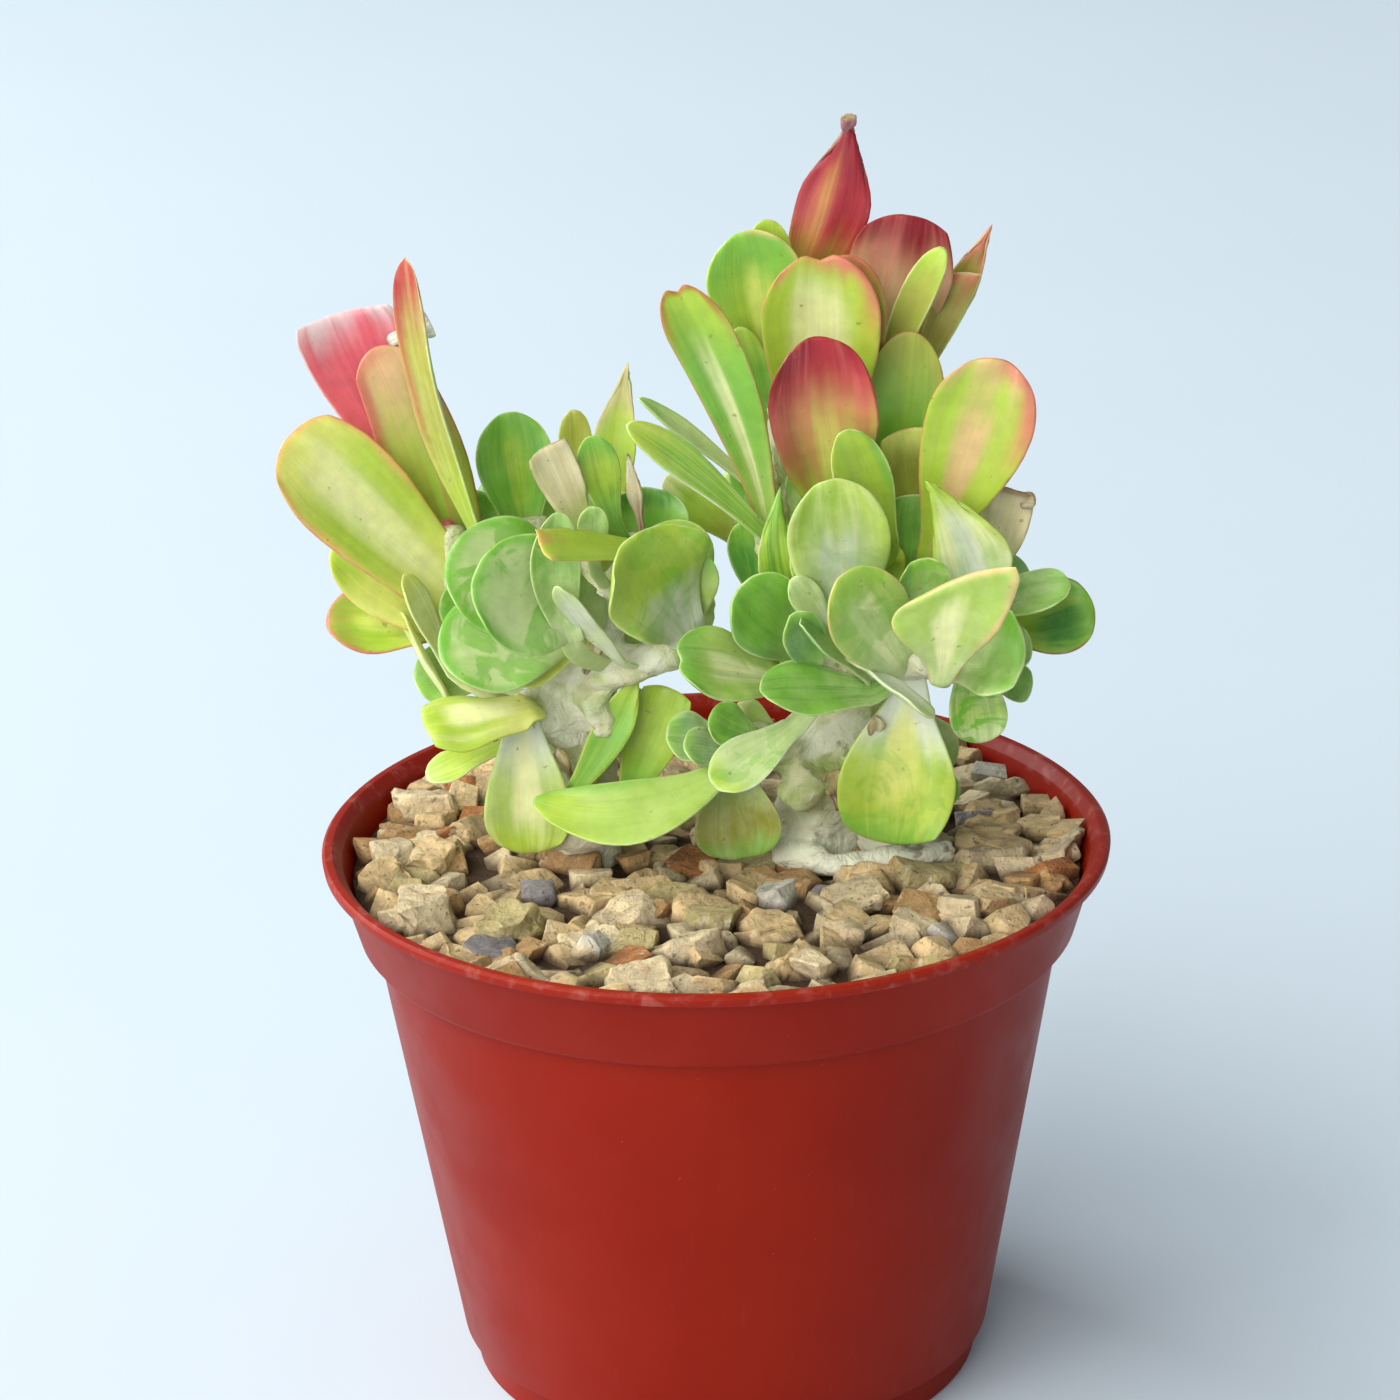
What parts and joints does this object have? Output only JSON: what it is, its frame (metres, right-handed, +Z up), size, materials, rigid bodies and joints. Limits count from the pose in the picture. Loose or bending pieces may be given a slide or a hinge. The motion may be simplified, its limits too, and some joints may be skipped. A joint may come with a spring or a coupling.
{
  "type": "potted crested paddle plant",
  "caption": "Red plastic nursery pot of gravel-dressed mix with two crested succulent stems crowded with rounded paddle leaves, green to lime with red tips.",
  "frame": {"origin": "middle of the pot's flat underside", "axes": "+Z up through the pot, -Y towards the viewer of the picture, +X to that viewer's right"},
  "size_m": [0.1589, 0.155, 0.25],
  "materials": {
    "pot_plastic": "satin",
    "potting_mix": "matte, crumbly",
    "gravel": "matte, rough",
    "left_leaves": "smooth, waxy",
    "right_leaves": "smooth, waxy"
  },
  "bodies": {
    "root": {"pot": "pot_plastic", "potting_mix": "potting_mix", "gravel": "gravel", "left_leafy_stem": "left_leaves", "right_leafy_stem": "right_leaves"}
  },
  "joints": []
}
